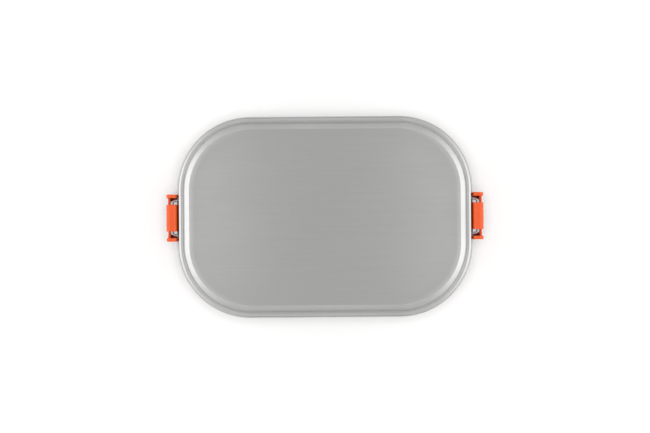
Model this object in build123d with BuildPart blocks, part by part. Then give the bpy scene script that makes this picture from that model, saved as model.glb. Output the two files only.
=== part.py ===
"""Stainless-steel lunch box with a snap clip at each end, modelled closed.

Frame: origin at the centre of the underside, +X along the long side, +Z up.
Offsets called "reach" are half-lengths along X, measured from the centre to the
middle of a short side; the same section runs round the whole rounded rectangle.
Sizes in millimetres.
"""
from build123d import *
import os

# ---- plan of the box: outer face of the tub wall ----
wall_reach = 96.1
wall_half_width = 63.8
wall_corner = 45.4
sheet_overlap = 1.0

# ---- tub ----
tub_sheet = 0.7
floor_bend = 10.0
rim_height = 56.0
rim_roll = 1.25
rim_roll_turn = 290
floor_lap = 36.0
floor_bead_start = 18.0
floor_bead_width = 6.0
floor_bead_rise = 0.8
floor_bead_bend = 0.8

# ---- lid ----
lid_sheet = 0.6
lid_height = 60.2
crest_height = 58.4
valley_height = 57.7
panel_reach = 92.1
valley_reach = 95.5
valley_width = 0.85
shoulder_reach = 97.15
bevel_reach = 97.85
bevel_drop = 0.75
skirt_reach = 99.25
skirt_end = 52.0
lid_roll = 0.65
lid_roll_turn = 265
panel_lap = 3.0
panel_bend = 0.8
valley_bend = 0.6
shoulder_foot = 0.4
shoulder_bend = 0.4
bevel_bend = 0.7
skirt_bend = 0.5

# ---- gasket ----
gasket_width = 1.6
gasket_corner = 0.6
gasket_play = 0.1
gasket_crush = 0.35

# ---- hinge: bracket on the lid's skirt, bent wire, clip turning on the wire ----
hinge_reach = 104.25
hinge_height = 54.6
wire_radius = 0.9
wire_bend = 2.6
leg_offset = 11.9
bracket_sheet = 0.6
bracket_half_width = 15.6
bracket_low = 53.1
bracket_high = 54.9
bracket_corner = 0.8
notch_play = 0.05

# ---- clip ----
barrel_radius = 3.85
barrel_half_width = 9.1
barrel_edge = 0.4
bore_radius = 0.97
clip_half_width = 16.1
cheek_thickness = 2.4
cheek_radius = 3.75
web_inner = 1.05
web_outer = 2.75
web_top = -1.4
web_edge = 0.5
web_blend = 0.7
clip_drop = 28.3
tip_inner = 0.45
tip_length = 2.0
tip_slope = 2.0
ledge_top = -14.0
ledge_reach = -5.05
ledge_tip = 1.4
ledge_root = 3.6
ledge_edge = 0.4
window_start = 8.8
window_end = 11.5
neck_depth = 2.8
neck_top = 0.7
neck_start = 3.1
neck_end = 4.6
shoulder_drop = 8.0
belly_depth = 5.2
belly_end = 15.8
tab_start = 23.5
tab_heel = 4.5
cheek_rounding = (1.0, 1.5, 1.5, 2.0, 2.5, 3.0, 0.9, 0.9, 2.0)
cheek_edge = 0.6
tab_corner = 5.0
tab_corner_relief = 0.1
outline_margin = 30.0
rib_count = 3
rib_drop = 22.6
rib_pitch = 2.6
rib_length = 18.0
rib_width = 1.2
rib_height = 0.4
rib_taper = 30

# ---- catch on the tub's end wall ----
catch_sheet = 0.8
catch_half_width = 12.0
catch_low = 33.3
catch_bend = 1.0
catch_corner = 2.5
catch_hem = 0.8
catch_hem_reach = 99.5
catch_play = 0.25

os.makedirs("parts", exist_ok=True)

skirt_face = skirt_reach + lid_sheet / 2
catch_height = hinge_height + ledge_top + catch_play + catch_hem


def plan_size(inset):
    """Length, width and corner radius of the plan, inset from the tub wall."""
    length = 2 * (wall_reach - inset)
    width = 2 * (wall_half_width - inset)
    return length, width, wall_corner - inset


# Plan curve that every ring-shaped section is swept along. It starts and ends in
# the middle of the +X short side, where it crosses the XZ plane at a right angle.
straight_x = wall_reach - wall_corner
straight_y = wall_half_width - wall_corner

with BuildLine() as rim_path:
    side_start = Line((wall_reach, 0), (wall_reach, straight_y))
    corner_1 = JernArc(side_start @ 1, side_start % 1, wall_corner, 90)
    side_2 = Line(corner_1 @ 1, (-straight_x, wall_half_width))
    corner_2 = JernArc(side_2 @ 1, side_2 % 1, wall_corner, 90)
    side_3 = Line(corner_2 @ 1, (-wall_reach, -straight_y))
    corner_3 = JernArc(side_3 @ 1, side_3 % 1, wall_corner, 90)
    side_4 = Line(corner_3 @ 1, (straight_x, -wall_half_width))
    corner_4 = JernArc(side_4 @ 1, side_4 % 1, wall_corner, 90)
    Line(corner_4 @ 1, (wall_reach, 0))

# ---- tub: one drawn sheet, with a stiffening bead in the floor and a rolled rim ----
wall_middle = wall_reach - tub_sheet / 2
floor_middle = tub_sheet / 2
rim_roll_height = rim_height - rim_roll - tub_sheet / 2
bead_outer = wall_reach - floor_bead_start
bead_inner = bead_outer - floor_bead_width

with BuildPart() as tub:
    with BuildSketch(Plane.XZ):
        with BuildLine():
            FilletPolyline(
                (wall_reach - floor_lap, floor_middle),
                (bead_inner - floor_bead_rise, floor_middle),
                (bead_inner, floor_middle + floor_bead_rise),
                (bead_outer, floor_middle + floor_bead_rise),
                (bead_outer + floor_bead_rise, floor_middle),
                (wall_middle, floor_middle),
                (wall_middle, rim_roll_height),
                radius=(*[floor_bead_bend] * 4, floor_bend),
            )
            CenterArc((wall_middle + rim_roll, rim_roll_height), rim_roll, 180, -rim_roll_turn)
        trace(line_width=tub_sheet)
    sweep(path=rim_path.line)
    with BuildSketch():
        RectangleRounded(*plan_size(floor_lap - sheet_overlap))
    extrude(amount=tub_sheet)
tub.part.label = "tub"

# ---- lid: raised panel, sloped border, shallow valley, bevelled shoulder, rolled skirt ----
half_sheet = lid_sheet / 2

with BuildPart() as lid:
    with BuildSketch(Plane.XZ):
        with BuildLine():
            FilletPolyline(
                (panel_reach - panel_lap, lid_height - half_sheet),
                (panel_reach, lid_height - half_sheet),
                (valley_reach, valley_height - half_sheet),
                (valley_reach + valley_width, valley_height - half_sheet),
                (shoulder_reach, crest_height - half_sheet),
                (bevel_reach, crest_height - half_sheet),
                (skirt_reach, crest_height - half_sheet - bevel_drop),
                (skirt_reach, skirt_end),
                radius=(
                    panel_bend, valley_bend, shoulder_foot, shoulder_bend, bevel_bend, skirt_bend,
                ),
            )
            CenterArc((skirt_reach + lid_roll, skirt_end), lid_roll, 180, lid_roll_turn)
        trace(line_width=lid_sheet)
    sweep(path=rim_path.line)
    with BuildSketch(Plane.XY.offset(lid_height - lid_sheet)):
        RectangleRounded(*plan_size(wall_reach - panel_reach + panel_lap - sheet_overlap))
    extrude(amount=lid_sheet)
lid.part.label = "lid"

# ---- gasket: silicone ring in the channel under the lid's shoulder ----
gasket_outer = skirt_reach - half_sheet - gasket_play
gasket_low = rim_height + gasket_play
gasket_high = crest_height - lid_sheet - gasket_play - gasket_crush

with BuildPart() as gasket:
    with BuildSketch(Plane.XZ):
        with Locations((gasket_outer - gasket_width / 2, (gasket_low + gasket_high) / 2)):
            RectangleRounded(gasket_width, gasket_high - gasket_low, gasket_corner)
    sweep(path=rim_path.line)
gasket.part.label = "gasket"

# ---- hinge bracket: strip welded to the skirt, notched for the two legs of the wire ----
wire_end_reach = skirt_face + notch_play

with BuildPart() as bracket_right:
    with BuildSketch(Plane.YZ.offset(skirt_face)):
        with Locations((0, (bracket_low + bracket_high) / 2)):
            RectangleRounded(2 * bracket_half_width, bracket_high - bracket_low, bracket_corner)
        with Locations((-leg_offset, hinge_height), (leg_offset, hinge_height)):
            Circle(wire_radius + notch_play, mode=Mode.SUBTRACT)
    extrude(amount=bracket_sheet)
bracket_right.part.label = "bracket_right"

# ---- hinge wire: crossbar in the clip's barrel, legs seated in the bracket's notches ----
with BuildPart() as hinge_wire_right:
    with BuildLine(Plane.XY.offset(hinge_height)) as wire_path:
        FilletPolyline(
            (wire_end_reach, -leg_offset),
            (hinge_reach, -leg_offset),
            (hinge_reach, leg_offset),
            (wire_end_reach, leg_offset),
            radius=wire_bend,
        )
    with BuildSketch(Plane(wire_path.line @ 0, z_dir=wire_path.line % 0)):
        Circle(wire_radius)
    sweep(path=wire_path.line)
hinge_wire_right.part.label = "hinge_wire_right"

# ---- catch: angle strip on the tub's end wall, its flange hemmed to a round edge ----
with BuildPart() as catch_right:
    with BuildSketch(Plane.XZ):
        with BuildLine():
            FilletPolyline(
                (wall_reach + catch_sheet / 2, catch_low),
                (wall_reach + catch_sheet / 2, catch_height),
                (catch_hem_reach, catch_height),
                radius=catch_bend,
            )
        trace(line_width=catch_sheet)
        with Locations((catch_hem_reach, catch_height)):
            Circle(catch_hem)
    extrude(amount=catch_half_width, both=True)
    fillet(catch_right.edges().filter_by(Axis.X).group_by(Axis.Z)[0], radius=catch_corner)
catch_right.part.label = "catch_right"

# ---- clip: barrel, recessed web, two cheeks and the ledge that snaps under the catch ----
cheek_inner = clip_half_width - cheek_thickness
web_front = hinge_reach + web_outer
hinge_plane = Plane.XZ.shift_origin((hinge_reach, 0, hinge_height))

with BuildPart() as clip_right:
    with BuildSketch(hinge_plane):
        Circle(barrel_radius)
    extrude(amount=barrel_half_width, both=True)
    fillet(clip_right.edges().filter_by(GeomType.CIRCLE), radius=barrel_edge)
    with BuildSketch(hinge_plane):
        with BuildLine():
            FilletPolyline(
                (web_inner, web_top),
                (web_outer, web_top),
                (web_outer, -clip_drop),
                (tip_inner, -clip_drop),
                (tip_inner, -clip_drop + tip_length),
                (web_inner, -clip_drop + tip_length + tip_slope),
                radius=web_edge,
                close=True,
            )
        make_face()
    extrude(amount=cheek_inner, both=True)
    # ledge in three lengths: windows between them clear the legs of the wire
    for start, end in ((-window_start, window_start), (window_end, cheek_inner), (-cheek_inner, -window_end)):
        with BuildSketch(hinge_plane.offset(-end)):
            with BuildLine():
                FilletPolyline(
                    (web_outer - web_edge, ledge_top),
                    (ledge_reach, ledge_top),
                    (ledge_reach, ledge_top - ledge_tip),
                    (web_outer - web_edge, ledge_top - ledge_root),
                    radius=ledge_edge,
                    close=True,
                )
            make_face()
        extrude(amount=end - start)
    # blend between the web's front and the cheeks
    with BuildSketch(Plane.XY.offset(hinge_height - clip_drop + tab_corner)):
        for side in (-1, 1):
            with Locations((web_front + web_blend / 2, side * (cheek_inner - web_blend / 2))):
                Rectangle(web_blend, web_blend)
            with Locations((web_front + web_blend, side * (cheek_inner - web_blend))):
                Circle(web_blend, mode=Mode.SUBTRACT)
    extrude(amount=clip_drop - tab_corner + web_top - web_edge)
    for side in (-1, 1):
        with BuildSketch(hinge_plane.offset(side * (cheek_inner + cheek_thickness / 2))):
            with BuildLine():
                ThreePointArc((cheek_radius, 0), (0, cheek_radius), (-cheek_radius, 0))
                FilletPolyline(
                    (-cheek_radius, 0),
                    (-cheek_radius, -neck_top),
                    (-neck_depth, -neck_start),
                    (-neck_depth, -neck_end),
                    (-belly_depth, -shoulder_drop),
                    (-belly_depth, -belly_end),
                    (tip_inner, -tab_start),
                    (tip_inner, -clip_drop),
                    (web_outer, -clip_drop),
                    (cheek_radius, -clip_drop + tab_heel),
                    (cheek_radius, 0),
                    radius=cheek_rounding,
                )
            make_face()
        extrude(amount=cheek_thickness / 2, both=True)
    for end in (0, -1):
        cheek_side = clip_right.faces().filter_by(Plane.XZ).sort_by(Axis.Y)[end]
        fillet(cheek_side.edges(), radius=cheek_edge)
    # front outline: square at the hinge end, rounded at the finger tab
    with BuildSketch(Plane.YZ.offset(hinge_reach - outline_margin)):
        with Locations((0, hinge_height - clip_drop + tab_corner)):
            RectangleRounded(2 * clip_half_width, 2 * tab_corner, tab_corner - tab_corner_relief)
        with Locations((0, hinge_height - clip_drop + tab_corner + outline_margin)):
            Rectangle(2 * clip_half_width, 2 * outline_margin)
    extrude(amount=2 * outline_margin, mode=Mode.INTERSECT)
    # grip ribs across the finger tab
    with BuildSketch(Plane.YZ.offset(web_front)):
        with Locations((0, hinge_height - rib_drop)):
            with GridLocations(0, rib_pitch, 1, rib_count):
                SlotOverall(rib_length, rib_width)
    extrude(amount=rib_height, taper=rib_taper)
    with BuildSketch(hinge_plane):
        Circle(bore_radius)
    extrude(amount=barrel_half_width, both=True, mode=Mode.SUBTRACT)
clip_right.part.label = "clip_right"

# ---- the -X end is the mirror image of the +X end ----
with BuildPart() as bracket_left:
    mirror(bracket_right.part, about=Plane.YZ)
bracket_left.part.label = "bracket_left"

with BuildPart() as hinge_wire_left:
    mirror(hinge_wire_right.part, about=Plane.YZ)
hinge_wire_left.part.label = "hinge_wire_left"

with BuildPart() as catch_left:
    mirror(catch_right.part, about=Plane.YZ)
catch_left.part.label = "catch_left"

with BuildPart() as clip_left:
    mirror(clip_right.part, about=Plane.YZ)
clip_left.part.label = "clip_left"

pieces = (
    tub, lid, gasket, bracket_right, bracket_left, hinge_wire_right, hinge_wire_left,
    catch_right, catch_left, clip_right, clip_left,
)
for piece in pieces:
    export_step(piece.part, f"parts/{piece.part.label}.step")
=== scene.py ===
"""Stainless lunch box with orange end clips, dressed for a plain studio picture from above.

Metres throughout, except the section tables, which are in millimetres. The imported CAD
model stands as it is; its tub, lid and hinge wires are built again here from the same
sections, smoother, and the lid's panel gets a slight crown.
"""

import math

import bmesh
import bpy
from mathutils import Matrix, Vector


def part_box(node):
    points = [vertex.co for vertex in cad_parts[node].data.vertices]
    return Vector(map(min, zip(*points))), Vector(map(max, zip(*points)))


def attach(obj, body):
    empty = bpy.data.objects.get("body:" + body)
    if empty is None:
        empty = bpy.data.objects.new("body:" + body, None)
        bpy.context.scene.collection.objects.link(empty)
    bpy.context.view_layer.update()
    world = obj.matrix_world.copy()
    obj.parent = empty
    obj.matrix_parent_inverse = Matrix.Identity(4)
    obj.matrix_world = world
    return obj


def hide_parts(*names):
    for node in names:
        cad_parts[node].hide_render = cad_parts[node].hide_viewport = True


MM = 0.001

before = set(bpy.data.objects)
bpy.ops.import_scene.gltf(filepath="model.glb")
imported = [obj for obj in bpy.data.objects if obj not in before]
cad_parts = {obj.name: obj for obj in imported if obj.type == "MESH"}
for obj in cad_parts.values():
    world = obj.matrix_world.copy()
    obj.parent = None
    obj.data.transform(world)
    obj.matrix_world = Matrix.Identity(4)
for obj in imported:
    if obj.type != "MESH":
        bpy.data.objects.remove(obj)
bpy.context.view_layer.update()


# ---------------------------------------------------------------- places from the frame

def corners(name):
    """Lowest and highest corner of a CAD node at rest."""
    low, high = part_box(name)
    return Vector(low), Vector(high)


tub_low, tub_high = corners("tub")
wire_low, wire_high = corners("hinge_wire_right")

RIM_OVERHANG = 2.5 * MM            # rolled rim beyond the wall of the tub
WALL_REACH = tub_high.x - RIM_OVERHANG
WALL_HALF_WIDTH = tub_high.y - RIM_OVERHANG
WALL_CORNER = 45.4 * MM            # radius of the plan at the wall's outer face
STRAIGHT_X = WALL_REACH - WALL_CORNER
STRAIGHT_Y = WALL_HALF_WIDTH - WALL_CORNER

ARC_STEP = math.radians(8)         # largest turn between two points of a bend
CORNER_STEPS = 36                  # steps round each corner of the plan
FILL_STEPS = 14                    # rings between the edge of a flat middle and its centre
CROWN_POWER = 4                    # how late the crowned panel falls away to its edge
BAR_SIDES = 24                     # flats round a bar

# Sections in millimetres, as (reach, height) of the sheet's middle line in the plane
# through the middle of a short side; each inner point has its bend radius.
TUB_SHEET = 0.7
TUB_LINE = ((60.1, 0.35), (71.3, 0.35), (72.1, 1.15), (78.1, 1.15), (78.9, 0.35), (95.75, 0.35),
            (95.75, 54.4))
TUB_BENDS = (0.8, 0.8, 0.8, 0.8, 10.0)
TUB_ROLL_CENTRE = (97.0, 54.4)
TUB_ROLL_RADIUS = 1.25
TUB_ROLL_TURN = -290

LID_SHEET = 0.6
LID_LINE = ((89.1, 59.6), (92.1, 59.6), (95.5, 57.4), (96.35, 57.4), (97.15, 58.1), (97.85, 58.1),
            (99.25, 57.35), (99.25, 52.0))
LID_BENDS = (0.8, 0.6, 0.4, 0.4, 0.7, 0.5)
LID_ROLL_CENTRE = (99.9, 52.0)
LID_ROLL_RADIUS = 0.65
LID_ROLL_TURN = 265
LID_CROWN = 0.3

WIRE_BEND = 2.6                    # radius of the bar's middle line, in millimetres


# ---------------------------------------------------------------- section curves

def arc(centre, radius, start, turn):
    """Points along a circular arc, start and turn in degrees."""
    count = max(2, math.ceil(abs(math.radians(turn)) / ARC_STEP))
    points = []
    for i in range(count + 1):
        angle = math.radians(start + turn * i / count)
        spoke = Vector((radius * math.cos(angle), radius * math.sin(angle)))
        points.append(Vector(centre) + spoke)
    return points


def rounded(points, radii):
    """Open polyline with its inner corners rounded to the given radii."""
    points = [Vector(p) for p in points]
    line = [points[0]]
    for before, corner, after, radius in zip(points, points[1:], points[2:], radii):
        back = (before - corner).normalized()
        ahead = (after - corner).normalized()
        half = back.angle(ahead) / 2
        centre = corner + (back + ahead).normalized() * radius / math.sin(half)
        first = corner + back * radius / math.tan(half) - centre
        last = corner + ahead * radius / math.tan(half) - centre
        turn = first.angle_signed(last)
        count = max(2, math.ceil(abs(turn) / ARC_STEP))
        start = math.atan2(first.y, first.x)
        for i in range(count + 1):
            angle = start - turn * i / count
            line.append(centre + radius * Vector((math.cos(angle), math.sin(angle))))
    line.append(points[-1])
    return line


def sheet_section(line, thickness):
    """Outline of a sheet about its middle line, rounded at the far end, with its normals."""
    half = thickness / 2
    normals = []
    for i, point in enumerate(line):
        ahead = line[min(i + 1, len(line) - 1)] - point
        back = point - line[max(i - 1, 0)]
        if ahead.length and back.length:
            along = (ahead.normalized() + back.normalized()).normalized()
        else:
            along = (ahead + back).normalized()
        normals.append(Vector((-along.y, along.x)))
    outline = [(p + n * half, n) for p, n in zip(line, normals)]
    tip, last = line[-1], normals[-1]
    start = math.degrees(math.atan2(last.y, last.x))
    for point in arc((0, 0), 1, start, -180)[1:-1]:
        outline.append((tip + point * half, point))
    outline += [(p - n * half, -n) for p, n in zip(reversed(line), reversed(normals))]
    return outline


def section(line, bends, roll_centre, roll_radius, roll_turn, thickness):
    """Outline in metres of a sheet that ends in a roll; the sizes are in millimetres."""
    middle = rounded([Vector(point) * MM for point in line], [radius * MM for radius in bends])
    middle += arc([place * MM for place in roll_centre], roll_radius * MM, 180, roll_turn)[1:]
    return sheet_section(middle, thickness * MM)


# ---------------------------------------------------------------- meshes

def solid(name, verts, faces):
    """Smooth mesh object with its faces turned outwards."""
    mesh = bpy.data.meshes.new(name)
    mesh.from_pydata(verts, [], faces)
    built = bmesh.new()
    built.from_mesh(mesh)
    bmesh.ops.recalc_face_normals(built, faces=built.faces)
    built.to_mesh(mesh)
    built.free()
    mesh.polygons.foreach_set("use_smooth", [True] * len(mesh.polygons))
    piece = bpy.data.objects.new(name, mesh)
    bpy.context.collection.objects.link(piece)
    return piece


def plan_directions():
    """Corner centre and outward direction of each sample round the plan."""
    samples = []
    for quarter, (sx, sy) in enumerate(((1, 1), (-1, 1), (-1, -1), (1, -1))):
        for i in range(CORNER_STEPS + 1):
            angle = math.radians(90) * (quarter + i / CORNER_STEPS)
            centre = Vector((sx * STRAIGHT_X, sy * STRAIGHT_Y, 0))
            samples.append((centre, Vector((math.cos(angle), math.sin(angle), 0))))
    return samples


def ring_points(reach, height):
    """Closed loop of points at one reach and height."""
    radius = WALL_CORNER - (WALL_REACH - reach)
    lift = Vector((0, 0, height))
    return [centre + direction * radius + lift for centre, direction in plan_directions()]


def shell(name, outline, crown=0.0):
    """Sweeps an outline round the plan and closes it with a flat or crowned middle on both faces."""
    verts, normals, faces = [], [], []
    directions = [direction for centre, direction in plan_directions()]
    count = len(directions)
    for point, normal in outline:
        verts += ring_points(point.x, point.y)
        normals += [direction * normal.x + Vector((0, 0, normal.y)) for direction in directions]
    rows = len(outline)
    for row in range(rows - 1):
        above = row + 1
        for i in range(count):
            j = (i + 1) % count
            faces.append((row * count + i, row * count + j, above * count + j, above * count + i))
    for row, up in ((0, 1), (rows - 1, -1)):
        edge = [row * count + i for i in range(count)]
        rim = [verts[k].copy() for k in edge]
        for step in range(1, FILL_STEPS + 1):
            scale = 1 - step / (FILL_STEPS + 1)
            start = len(verts)
            rise = 1 - scale ** CROWN_POWER
            lift = crown * rise ** 2
            slope = 2 * crown * rise * CROWN_POWER * scale ** (CROWN_POWER - 1)
            for point, direction in zip(rim, directions):
                verts.append(Vector((point.x * scale, point.y * scale, point.z + lift)))
                tilt = slope / point.dot(direction)
                normals.append((direction * tilt + Vector((0, 0, 1))) * up)
            inner = list(range(start, start + count))
            for i in range(count):
                j = (i + 1) % count
                faces.append((edge[j], edge[i], inner[i], inner[j]) if up > 0 else
                             (edge[i], edge[j], inner[j], inner[i]))
            edge = inner
        faces.append(tuple(edge))
    piece = solid(name, verts, faces)
    piece.data.normals_split_custom_set_from_vertices([n.normalized() for n in normals])
    return piece


# Domed end of a bar: distance from the tip and width, as shares of the dome and the radius.
DOME = ((0.0, 0.25), (0.35, 0.55), (0.7, 0.82), (0.93, 0.95))
DOME_LENGTH = 0.3                  # in radii of the bar


def bar(name, path, radius):
    """Round bar along a level path of points, with softly domed ends."""
    points = [Vector(p) for p in path]
    start = (points[1] - points[0]).normalized()
    end = (points[-1] - points[-2]).normalized()
    depth = radius * DOME_LENGTH
    rings = [(points[0] + start * depth * place, start, radius * share) for place, share in DOME]
    for before, point, after in zip(points, points[1:], points[2:]):
        along = ((after - point).normalized() + (point - before).normalized()).normalized()
        rings.append((point, along, radius))
    rings += [(points[-1] - end * depth * place, end, radius * share) for place, share in reversed(DOME)]
    verts, faces = [], []
    for centre, along, size in rings:
        across = along.cross(Vector((0, 0, 1))).normalized()
        up = across.cross(along)
        for i in range(BAR_SIDES):
            angle = 2 * math.pi * i / BAR_SIDES
            verts.append(centre + (across * math.cos(angle) + up * math.sin(angle)) * size)
    for first in range(0, len(verts) - BAR_SIDES, BAR_SIDES):
        above = first + BAR_SIDES
        for i in range(BAR_SIDES):
            j = (i + 1) % BAR_SIDES
            faces.append((first + i, first + j, above + j, above + i))
    faces.append(tuple(range(BAR_SIDES)))
    faces.append(tuple(range(len(verts) - BAR_SIDES, len(verts))))
    return solid(name, verts, faces)


# ---------------------------------------------------------------- steel pieces

tub_outline = section(TUB_LINE, TUB_BENDS, TUB_ROLL_CENTRE, TUB_ROLL_RADIUS, TUB_ROLL_TURN, TUB_SHEET)
tub_shell = shell("tub_shell", tub_outline)
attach(tub_shell, "tub")
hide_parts("tub")

lid_outline = section(LID_LINE, LID_BENDS, LID_ROLL_CENTRE, LID_ROLL_RADIUS, LID_ROLL_TURN, LID_SHEET)
lid_shell = shell("lid_shell", lid_outline, crown=LID_CROWN * MM)
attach(lid_shell, "lid")
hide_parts("lid")
brush_map = lid_shell.data.uv_layers.new(name="brush")
for corner in lid_shell.data.loops:
    place = lid_shell.data.vertices[corner.vertex_index].co
    brush_map.data[corner.index].uv = (place.y, place.x)

# hinge wires: crossbar in the clip's barrel, legs seated in the bracket's notches
wire_radius = (wire_high.z - wire_low.z) / 2
wire_z = (wire_low.z + wire_high.z) / 2
bar_x = wire_high.x - wire_radius
leg = wire_high.y - wire_radius
wire_ends = [(wire_low.x, -leg), (bar_x, -leg), (bar_x, leg), (wire_low.x, leg)]
bent = rounded(wire_ends, [WIRE_BEND * MM] * 2)
wires = []
for side, word in ((1, "right"), (-1, "left")):
    wire = bar(f"wire_{word}", [(side * p.x, p.y, wire_z) for p in bent], wire_radius)
    wires.append(wire)
    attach(wire, "lid")
    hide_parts(f"hinge_wire_{word}")


# ---------------------------------------------------------------- materials

NOISE_LOW, NOISE_HIGH = 0.3, 0.7   # where nearly all of a noise's values lie


class Finish:
    """A Principled material with short helpers for its node tree; patterns are in object space."""

    def __init__(self, name, metallic=0.0):
        self.material = bpy.data.materials.new(name)
        self.material.use_nodes = True
        self.tree = self.material.node_tree
        self.shader = self.tree.nodes["Principled BSDF"]
        self.shader.inputs["Metallic"].default_value = metallic
        self.place = self.tree.nodes.new("ShaderNodeTexCoord").outputs["Object"]

    def link(self, source, target):
        self.tree.links.new(source, target)

    def noise(self, frequency, detail=2.0, rough=0.5):
        """Noise from 0 to 1; frequency is features per metre along X, Y and Z."""
        stretch = self.tree.nodes.new("ShaderNodeMapping")
        stretch.inputs["Scale"].default_value = frequency
        self.link(self.place, stretch.inputs["Vector"])
        texture = self.tree.nodes.new("ShaderNodeTexNoise")
        texture.inputs["Scale"].default_value = 1.0
        texture.inputs["Detail"].default_value = detail
        texture.inputs["Roughness"].default_value = rough
        self.link(stretch.outputs["Vector"], texture.inputs["Vector"])
        return texture.outputs["Fac"]

    def remap(self, source, low, high):
        """Noise stretched from its usual range to low..high."""
        node = self.tree.nodes.new("ShaderNodeMapRange")
        node.inputs["From Min"].default_value = NOISE_LOW
        node.inputs["From Max"].default_value = NOISE_HIGH
        node.inputs["To Min"].default_value = low
        node.inputs["To Max"].default_value = high
        self.link(source, node.inputs["Value"])
        return node.outputs["Result"]

    def maths(self, kind, first, second):
        node = self.tree.nodes.new("ShaderNodeMath")
        node.operation = kind
        for socket, value in zip(node.inputs, (first, second)):
            if isinstance(value, float):
                socket.default_value = value
            else:
                self.link(value, socket)
        return node.outputs["Value"]

    def blend(self, share, first, second):
        """Colour between two colours by share."""
        node = self.tree.nodes.new("ShaderNodeMix")
        node.data_type = "RGBA"
        node.inputs["A"].default_value = (*first, 1)
        node.inputs["B"].default_value = (*second, 1)
        self.link(share, node.inputs["Factor"])
        return node.outputs[2]

    def bump(self, height, distance):
        node = self.tree.nodes.new("ShaderNodeBump")
        node.inputs["Distance"].default_value = distance
        self.link(height, node.inputs["Height"])
        self.link(node.outputs["Normal"], self.shader.inputs["Normal"])

    def set(self, socket, source):
        self.link(source, self.shader.inputs[socket])


FINE_SHARE, WIDE_SHARE, CLOUD_SHARE = 0.35, 0.2, 0.45
WIDE_STRETCH = (0.7, 0.2, 0.2)     # frequency of the wide strokes over that of the fine ones
CLOUD_FREQUENCY = (18, 26, 26)
ROUGHNESS_SPREAD = 0.1


def brushed_steel(name, grain, dark, light, roughness, bump):
    """Steel with fine and wide brush strokes and soft clouds; grain is the strokes' frequency."""
    finish = Finish(name, metallic=1.0)
    fine = finish.noise(grain, 3.0, 0.6)
    wide = finish.noise([f * share for f, share in zip(grain, WIDE_STRETCH)], 2.0, 0.55)
    cloud = finish.noise(CLOUD_FREQUENCY, 4.0, 0.6)
    fine_part = finish.maths("MULTIPLY", fine, FINE_SHARE)
    wide_part = finish.maths("MULTIPLY", wide, WIDE_SHARE)
    cloud_part = finish.maths("MULTIPLY", cloud, CLOUD_SHARE)
    tone = finish.maths("ADD", finish.maths("ADD", fine_part, wide_part), cloud_part)
    finish.set("Base Color", finish.blend(finish.remap(tone, 0.0, 1.0), dark, light))
    rough, smooth = roughness * (1 + ROUGHNESS_SPREAD), roughness * (1 - ROUGHNESS_SPREAD)
    finish.set("Roughness", finish.remap(tone, rough, smooth))
    finish.bump(fine, bump)
    return finish


lid_steel = brushed_steel("lid_steel", (22, 2600, 900), (0.525, 0.525, 0.52), (0.602, 0.602, 0.598),
                          roughness=0.34, bump=6e-6)
across = lid_steel.tree.nodes.new("ShaderNodeTangent")
across.direction_type = "UV_MAP"
across.uv_map = "brush"
lid_steel.set("Tangent", across.outputs["Tangent"])
lid_steel.shader.inputs["Anisotropic"].default_value = 0.9
tub_steel = brushed_steel("tub_steel", (30, 30, 2400), (0.475, 0.475, 0.48), (0.60, 0.60, 0.60),
                          roughness=0.30, bump=5e-6)
part_steel = brushed_steel("part_steel", (900, 60, 900), (0.46, 0.46, 0.465), (0.585, 0.585, 0.59),
                           roughness=0.30, bump=4e-6)

wire_steel = Finish("wire_steel", metallic=1.0)
scuff = wire_steel.noise((500, 500, 500), 3.0)
drawn = wire_steel.noise((3000, 160, 3000), 2.0)
wire_steel.set("Base Color", wire_steel.blend(scuff, (0.37, 0.385, 0.395), (0.50, 0.515, 0.525)))
wire_steel.set("Roughness", wire_steel.remap(scuff, 0.10, 0.22))
wire_steel.bump(drawn, 3e-6)

plastic = Finish("clip_plastic")
grain = plastic.noise((2600, 2600, 2600), 2.0)
flow = plastic.noise((60, 60, 60), 2.0)
plastic.set("Base Color", plastic.blend(flow, (0.84, 0.090, 0.006), (0.92, 0.106, 0.009)))
plastic.set("Roughness", plastic.remap(flow, 0.21, 0.28))
plastic.bump(grain, 6e-6)

# near-black bracket with low specular: painted shade for the deep shade in the gap between each clip's
# barrel and the lid's skirt; the noise only mottles it at random
painted_shade_coat = Finish("bracket_painted_shade")
shade_mottle = painted_shade_coat.noise((400, 400, 400), 3.0)
painted_shade_coat.set("Base Color", painted_shade_coat.blend(shade_mottle, (0.008, 0.008, 0.008), (0.02, 0.02, 0.02)))
painted_shade_coat.shader.inputs["Specular IOR Level"].default_value = 0.25
painted_shade_coat.set("Roughness", painted_shade_coat.remap(shade_mottle, 0.42, 0.6))
painted_shade_coat.bump(painted_shade_coat.noise((3500, 3500, 3500), 2.0), 1e-5)

silicone = Finish("silicone")
mottle = silicone.noise((300, 300, 300), 2.0)
silicone.set("Base Color", silicone.blend(mottle, (0.76, 0.77, 0.76), (0.86, 0.87, 0.86)))
silicone.set("Roughness", silicone.remap(mottle, 0.38, 0.55))
silicone.bump(silicone.noise((1800, 1800, 1800), 2.0), 1e-5)


def dress(piece, finish):
    """Gives a piece one material all over."""
    piece.data.materials.clear()
    piece.data.materials.append(finish.material)


dress(tub_shell, tub_steel)
dress(lid_shell, lid_steel)
for wire in wires:
    dress(wire, wire_steel)
for node, finish in (("gasket", silicone), ("bracket_right", painted_shade_coat), ("bracket_left", painted_shade_coat),
                     ("catch_right", part_steel), ("catch_left", part_steel),
                     ("clip_right", plastic), ("clip_left", plastic)):
    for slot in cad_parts[node].material_slots:
        slot.material = finish.material


# ---------------------------------------------------------------- floor, light and camera

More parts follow.
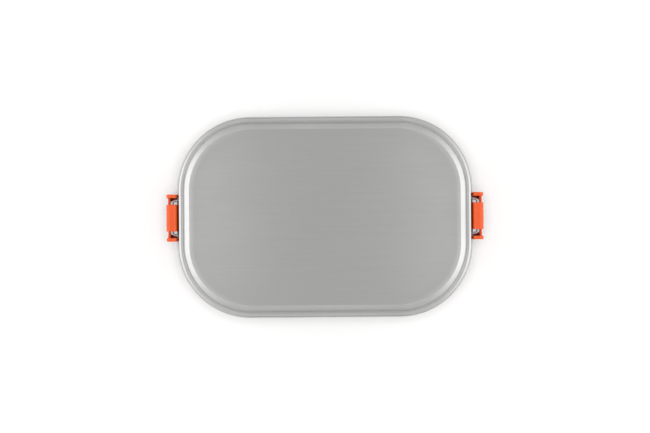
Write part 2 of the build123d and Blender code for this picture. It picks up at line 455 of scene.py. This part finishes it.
floor_reach = 4.0
floor_gap = 0.2 * MM
floor_mesh = bpy.data.meshes.new("floor")
floor_corners = ((-1, -1), (1, -1), (1, 1), (-1, 1))
floor_mesh.from_pydata([(x * floor_reach, y * floor_reach, 0) for x, y in floor_corners],
                       [], [(0, 1, 2, 3)])
floor = bpy.data.objects.new("floor", floor_mesh)
bpy.context.collection.objects.link(floor)
floor.location.z = -floor_gap
paper = Finish("paper")
pulp = paper.noise((3, 3, 3), 2.0)
paper.set("Base Color", paper.blend(pulp, (0.735, 0.73, 0.727), (0.745, 0.74, 0.737)))
paper.shader.inputs["Roughness"].default_value = 0.9
paper.shader.inputs["Specular IOR Level"].default_value = 0.0
dress(floor, paper)

world = bpy.data.worlds.new("studio")
bpy.context.scene.world = world
world.use_nodes = True
sky = world.node_tree.nodes
join = world.node_tree.links.new
direction = sky.new("ShaderNodeSeparateXYZ")
join(sky.new("ShaderNodeTexCoord").outputs["Generated"], direction.inputs["Vector"])


def falloff(source, stops):
    """Grey that depends on one part of the sky's direction."""
    ramp = sky.new("ShaderNodeValToRGB")
    join(source, ramp.inputs["Fac"])
    steps = ramp.color_ramp.elements
    steps[0].position = stops[0][0]
    steps[1].position = stops[-1][0]
    for place, grey in stops[1:-1]:
        steps.new(place)
    for step, (place, grey) in zip(steps, stops):
        step.color = (grey, grey, grey, 1)
    return ramp.outputs["Color"]


def add_light(total, share, amount):
    """Total light plus share times amount."""
    node = sky.new("ShaderNodeVectorMath")
    node.operation = "MULTIPLY_ADD"
    for source, socket in zip((share, amount, total), node.inputs):
        join(source, socket)
    return node.outputs["Vector"]


# Studio sky: dim straight overhead, with light panels beyond the short sides of the box,
# high ones that the lid's flat panel mirrors and low ones for the slope round it.
sideways = sky.new("ShaderNodeMath")
sideways.operation = "ABSOLUTE"
join(direction.outputs["X"], sideways.inputs[0])
height, side = direction.outputs["Z"], sideways.outputs["Value"]
by_height = falloff(height, ((0.0, 0.60), (0.15, 0.62), (0.3, 1.05), (0.6, 0.60), (1.0, 0.04)))
overhead = falloff(height, ((0.6, 0.0), (0.92, 1.0)))
around = falloff(height, ((0.0, 0.0), (0.25, 1.0), (0.6, 1.0), (0.92, 0.0)))
high_panels = falloff(side, ((0.0, 0.0), (0.04, 0.31), (0.12, 1.31), (0.2, 0.79), (0.35, 0.63),
                             (0.6, 0.71), (1.0, 0.3)))
low_panels = falloff(side, ((0.0, 0.0), (0.3, 0.0), (0.5, 0.17), (0.7, 0.43), (0.85, 0.90),
                            (0.95, 0.78), (1.0, 0.33)))
light = add_light(add_light(by_height, overhead, high_panels), around, low_panels)
join(light, sky["Background"].inputs["Color"])
sky["Background"].inputs["Strength"].default_value = 1.1

# soft light from straight above that only the paper takes, for an even narrow shadow
lamp_height = 2.1
lamp_data = bpy.data.lights.new("table_light", "AREA")
lamp_data.shape = "DISK"
lamp_data.size = 0.6
lamp_data.energy = 23.637
table_light = bpy.data.objects.new("table_light", lamp_data)
bpy.context.collection.objects.link(table_light)
table_light.location.z = lamp_height
receivers = bpy.data.collections.new("paper_only")
receivers.objects.link(floor)
table_light.light_linking.receiver_collection = receivers

camera_distance = 1.6              # from the lens to the plane of the lid
lid_plane = 58 * MM
frame_width = 0.442                # of the picture, in that plane
aim_y = 0.27 * MM
roll = math.radians(-0.46)
camera_data = bpy.data.cameras.new("camera")
camera_data.sensor_width = 36
camera_data.lens = camera_data.sensor_width * camera_distance / frame_width
camera = bpy.data.objects.new("camera", camera_data)
bpy.context.collection.objects.link(camera)
camera.location = (0, aim_y, camera_distance + lid_plane)
camera.rotation_euler = (0, 0, roll)
bpy.context.scene.camera = camera
bpy.context.scene.view_settings.view_transform = "Standard"
